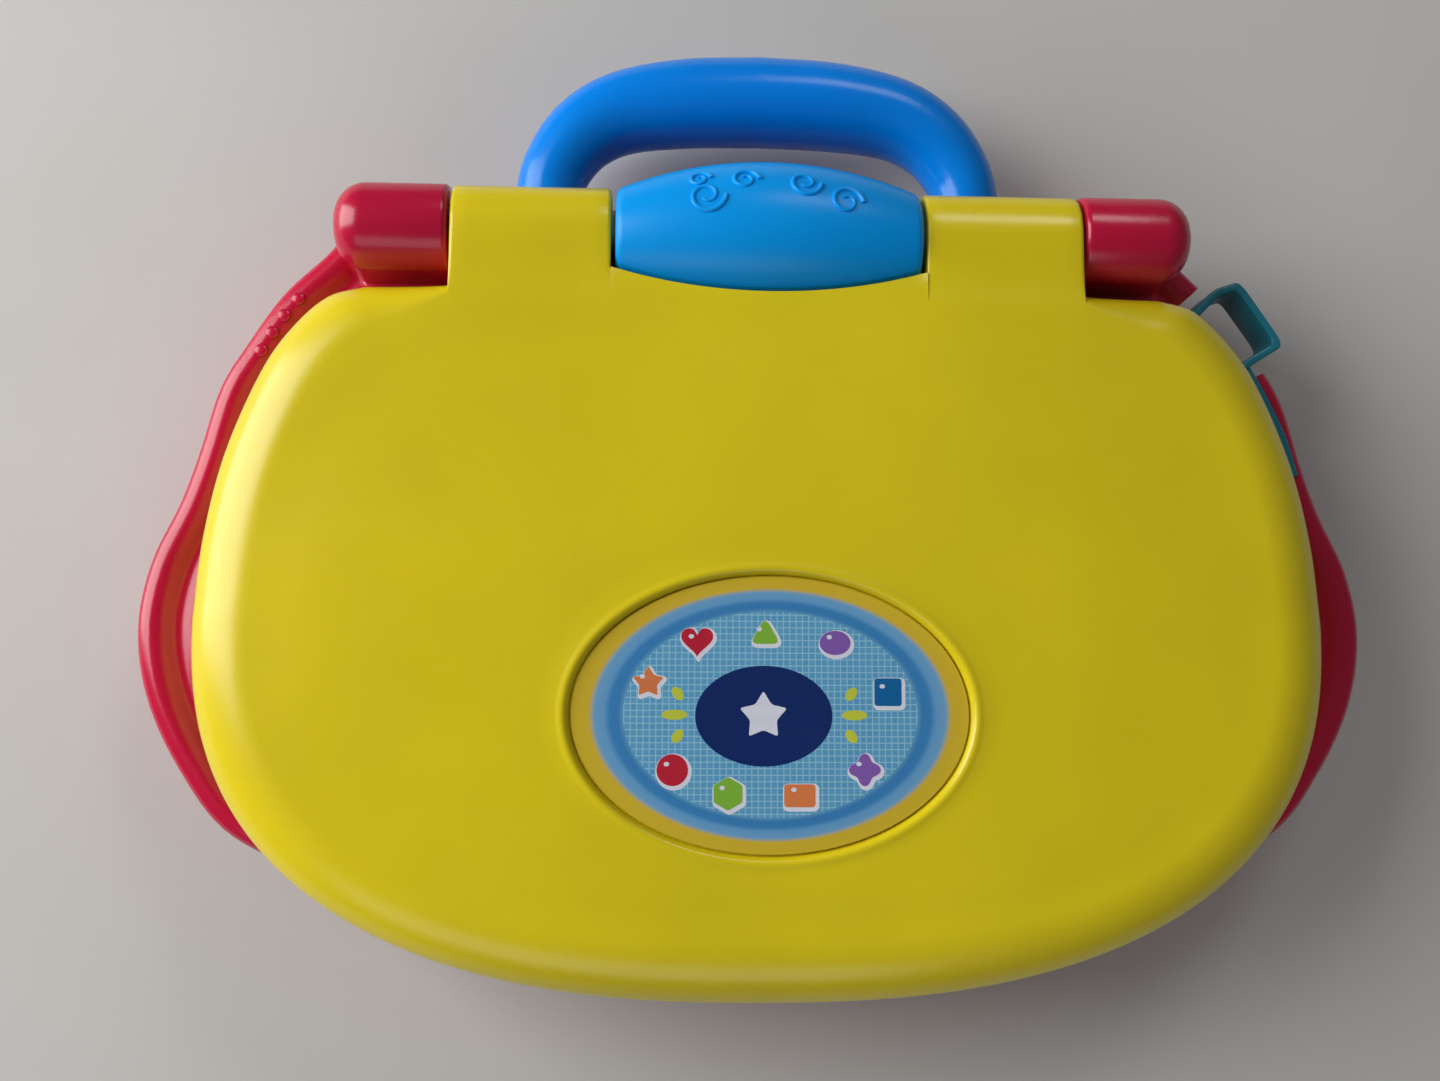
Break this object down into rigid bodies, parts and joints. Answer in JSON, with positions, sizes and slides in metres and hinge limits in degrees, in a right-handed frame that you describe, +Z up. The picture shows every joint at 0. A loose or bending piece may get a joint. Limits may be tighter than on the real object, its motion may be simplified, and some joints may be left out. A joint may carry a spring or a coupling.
{
  "type": "toy laptop computer",
  "caption": "Toddler's toy laptop with a hinged lid over shaped push keys, a screen in the lid, slide switches and a rear carry handle.",
  "frame": {"origin": "middle of the bounding box, on the plane that the rubber feet stand on", "axes": "+X to the right, +Y to the rear where the handle is, +Z up"},
  "size_m": [0.3, 0.2339, 0.0639],
  "materials": {
    "red_plastic": "glossy moulded",
    "yellow_plastic": "glossy moulded",
    "sky_blue_plastic": "satin moulded",
    "blue_plastic": "glossy moulded",
    "teal_plastic": "satin moulded",
    "green_plastic": "glossy moulded",
    "orange_plastic": "glossy moulded",
    "purple_plastic": "glossy moulded",
    "white_plastic": "satin moulded",
    "clear_window": "clear polished",
    "printed_sheet": "printed and laminated",
    "circuit_board": "solder mask",
    "silicone": "matt",
    "black_rubber": "matt",
    "battery_jacket": "satin",
    "steel": "plated"
  },
  "bodies": {
    "base": {"base_bottom_shell": "red_plastic", "base_screw_front_left": "steel", "base_screw_front_right": "steel", "base_screw_rear_left": "steel", "base_screw_rear_right": "steel", "base_top_shell": "red_plastic", "battery_1": "battery_jacket", "battery_2": "battery_jacket", "battery_contact_minus": "steel", "battery_contact_plus": "steel", "battery_cover": "red_plastic", "battery_link": "steel", "battery_screw": "steel", "carry_handle": "blue_plastic", "corner_loop": "teal_plastic", "foot_front_left": "black_rubber", "foot_front_right": "black_rubber", "foot_rear_left": "black_rubber", "foot_rear_right": "black_rubber", "hinge_drum": "sky_blue_plastic", "hinge_pin_left": "steel", "hinge_pin_right": "steel", "hinge_sleeve_left": "white_plastic", "hinge_sleeve_right": "white_plastic", "key_membrane": "silicone", "key_panel": "sky_blue_plastic", "main_board": "circuit_board", "mode_switch": "steel", "power_switch": "steel", "speaker": "steel"},
    "lid": {"lid_cover": "yellow_plastic", "lid_bezel": "sky_blue_plastic", "screen_window": "clear_window", "screen_picture": "printed_sheet", "light_diffuser": "white_plastic", "light_board": "circuit_board", "emblem_label": "printed_sheet", "lid_screw_front_left": "steel", "lid_screw_front_right": "steel", "lid_screw_rear_left": "steel", "lid_screw_rear_right": "steel"},
    "star_button": {"key_star": "orange_plastic"},
    "heart_button": {"key_heart": "red_plastic"},
    "triangle_button": {"key_triangle": "green_plastic"},
    "oval_button": {"key_oval": "purple_plastic"},
    "square_button": {"key_square": "blue_plastic"},
    "clover_button": {"key_clover": "purple_plastic"},
    "rectangle_button": {"key_rectangle": "orange_plastic"},
    "hexagon_button": {"key_hexagon": "green_plastic"},
    "circle_button": {"key_circle": "red_plastic"},
    "mode_slider": {"mode_knob": "green_plastic"},
    "power_slider": {"power_knob": "orange_plastic"}
  },
  "joints": [
    {"name": "lid_hinge", "type": "hinge", "parent": "base", "child": "lid", "pos_m": [0, 0.062, 0.047], "axis": [-1, 0, 0], "range_deg": [0, 110]},
    {"name": "press_star", "type": "slide", "parent": "base", "child": "star_button", "axis": [0, 0, -1], "range_m": [0, 0.0022], "stiffness_N_per_m": 500},
    {"name": "press_heart", "type": "slide", "parent": "base", "child": "heart_button", "axis": [0, 0, -1], "range_m": [0, 0.0022], "stiffness_N_per_m": 500},
    {"name": "press_triangle", "type": "slide", "parent": "base", "child": "triangle_button", "axis": [0, 0, -1], "range_m": [0, 0.0022], "stiffness_N_per_m": 500},
    {"name": "press_oval", "type": "slide", "parent": "base", "child": "oval_button", "axis": [0, 0, -1], "range_m": [0, 0.0022], "stiffness_N_per_m": 500},
    {"name": "press_square", "type": "slide", "parent": "base", "child": "square_button", "axis": [0, 0, -1], "range_m": [0, 0.0022], "stiffness_N_per_m": 500},
    {"name": "press_clover", "type": "slide", "parent": "base", "child": "clover_button", "axis": [0, 0, -1], "range_m": [0, 0.0022], "stiffness_N_per_m": 500},
    {"name": "press_rectangle", "type": "slide", "parent": "base", "child": "rectangle_button", "axis": [0, 0, -1], "range_m": [0, 0.0022], "stiffness_N_per_m": 500},
    {"name": "press_hexagon", "type": "slide", "parent": "base", "child": "hexagon_button", "axis": [0, 0, -1], "range_m": [0, 0.0022], "stiffness_N_per_m": 500},
    {"name": "press_circle", "type": "slide", "parent": "base", "child": "circle_button", "axis": [0, 0, -1], "range_m": [0, 0.0022], "stiffness_N_per_m": 500},
    {"name": "mode_slide", "type": "slide", "parent": "base", "child": "mode_slider", "axis": [1, 0, 0], "range_m": [-0.008, 0.008]},
    {"name": "power_slide", "type": "slide", "parent": "base", "child": "power_slider", "axis": [1, 0, 0], "range_m": [-0.005, 0.005]}
  ]
}
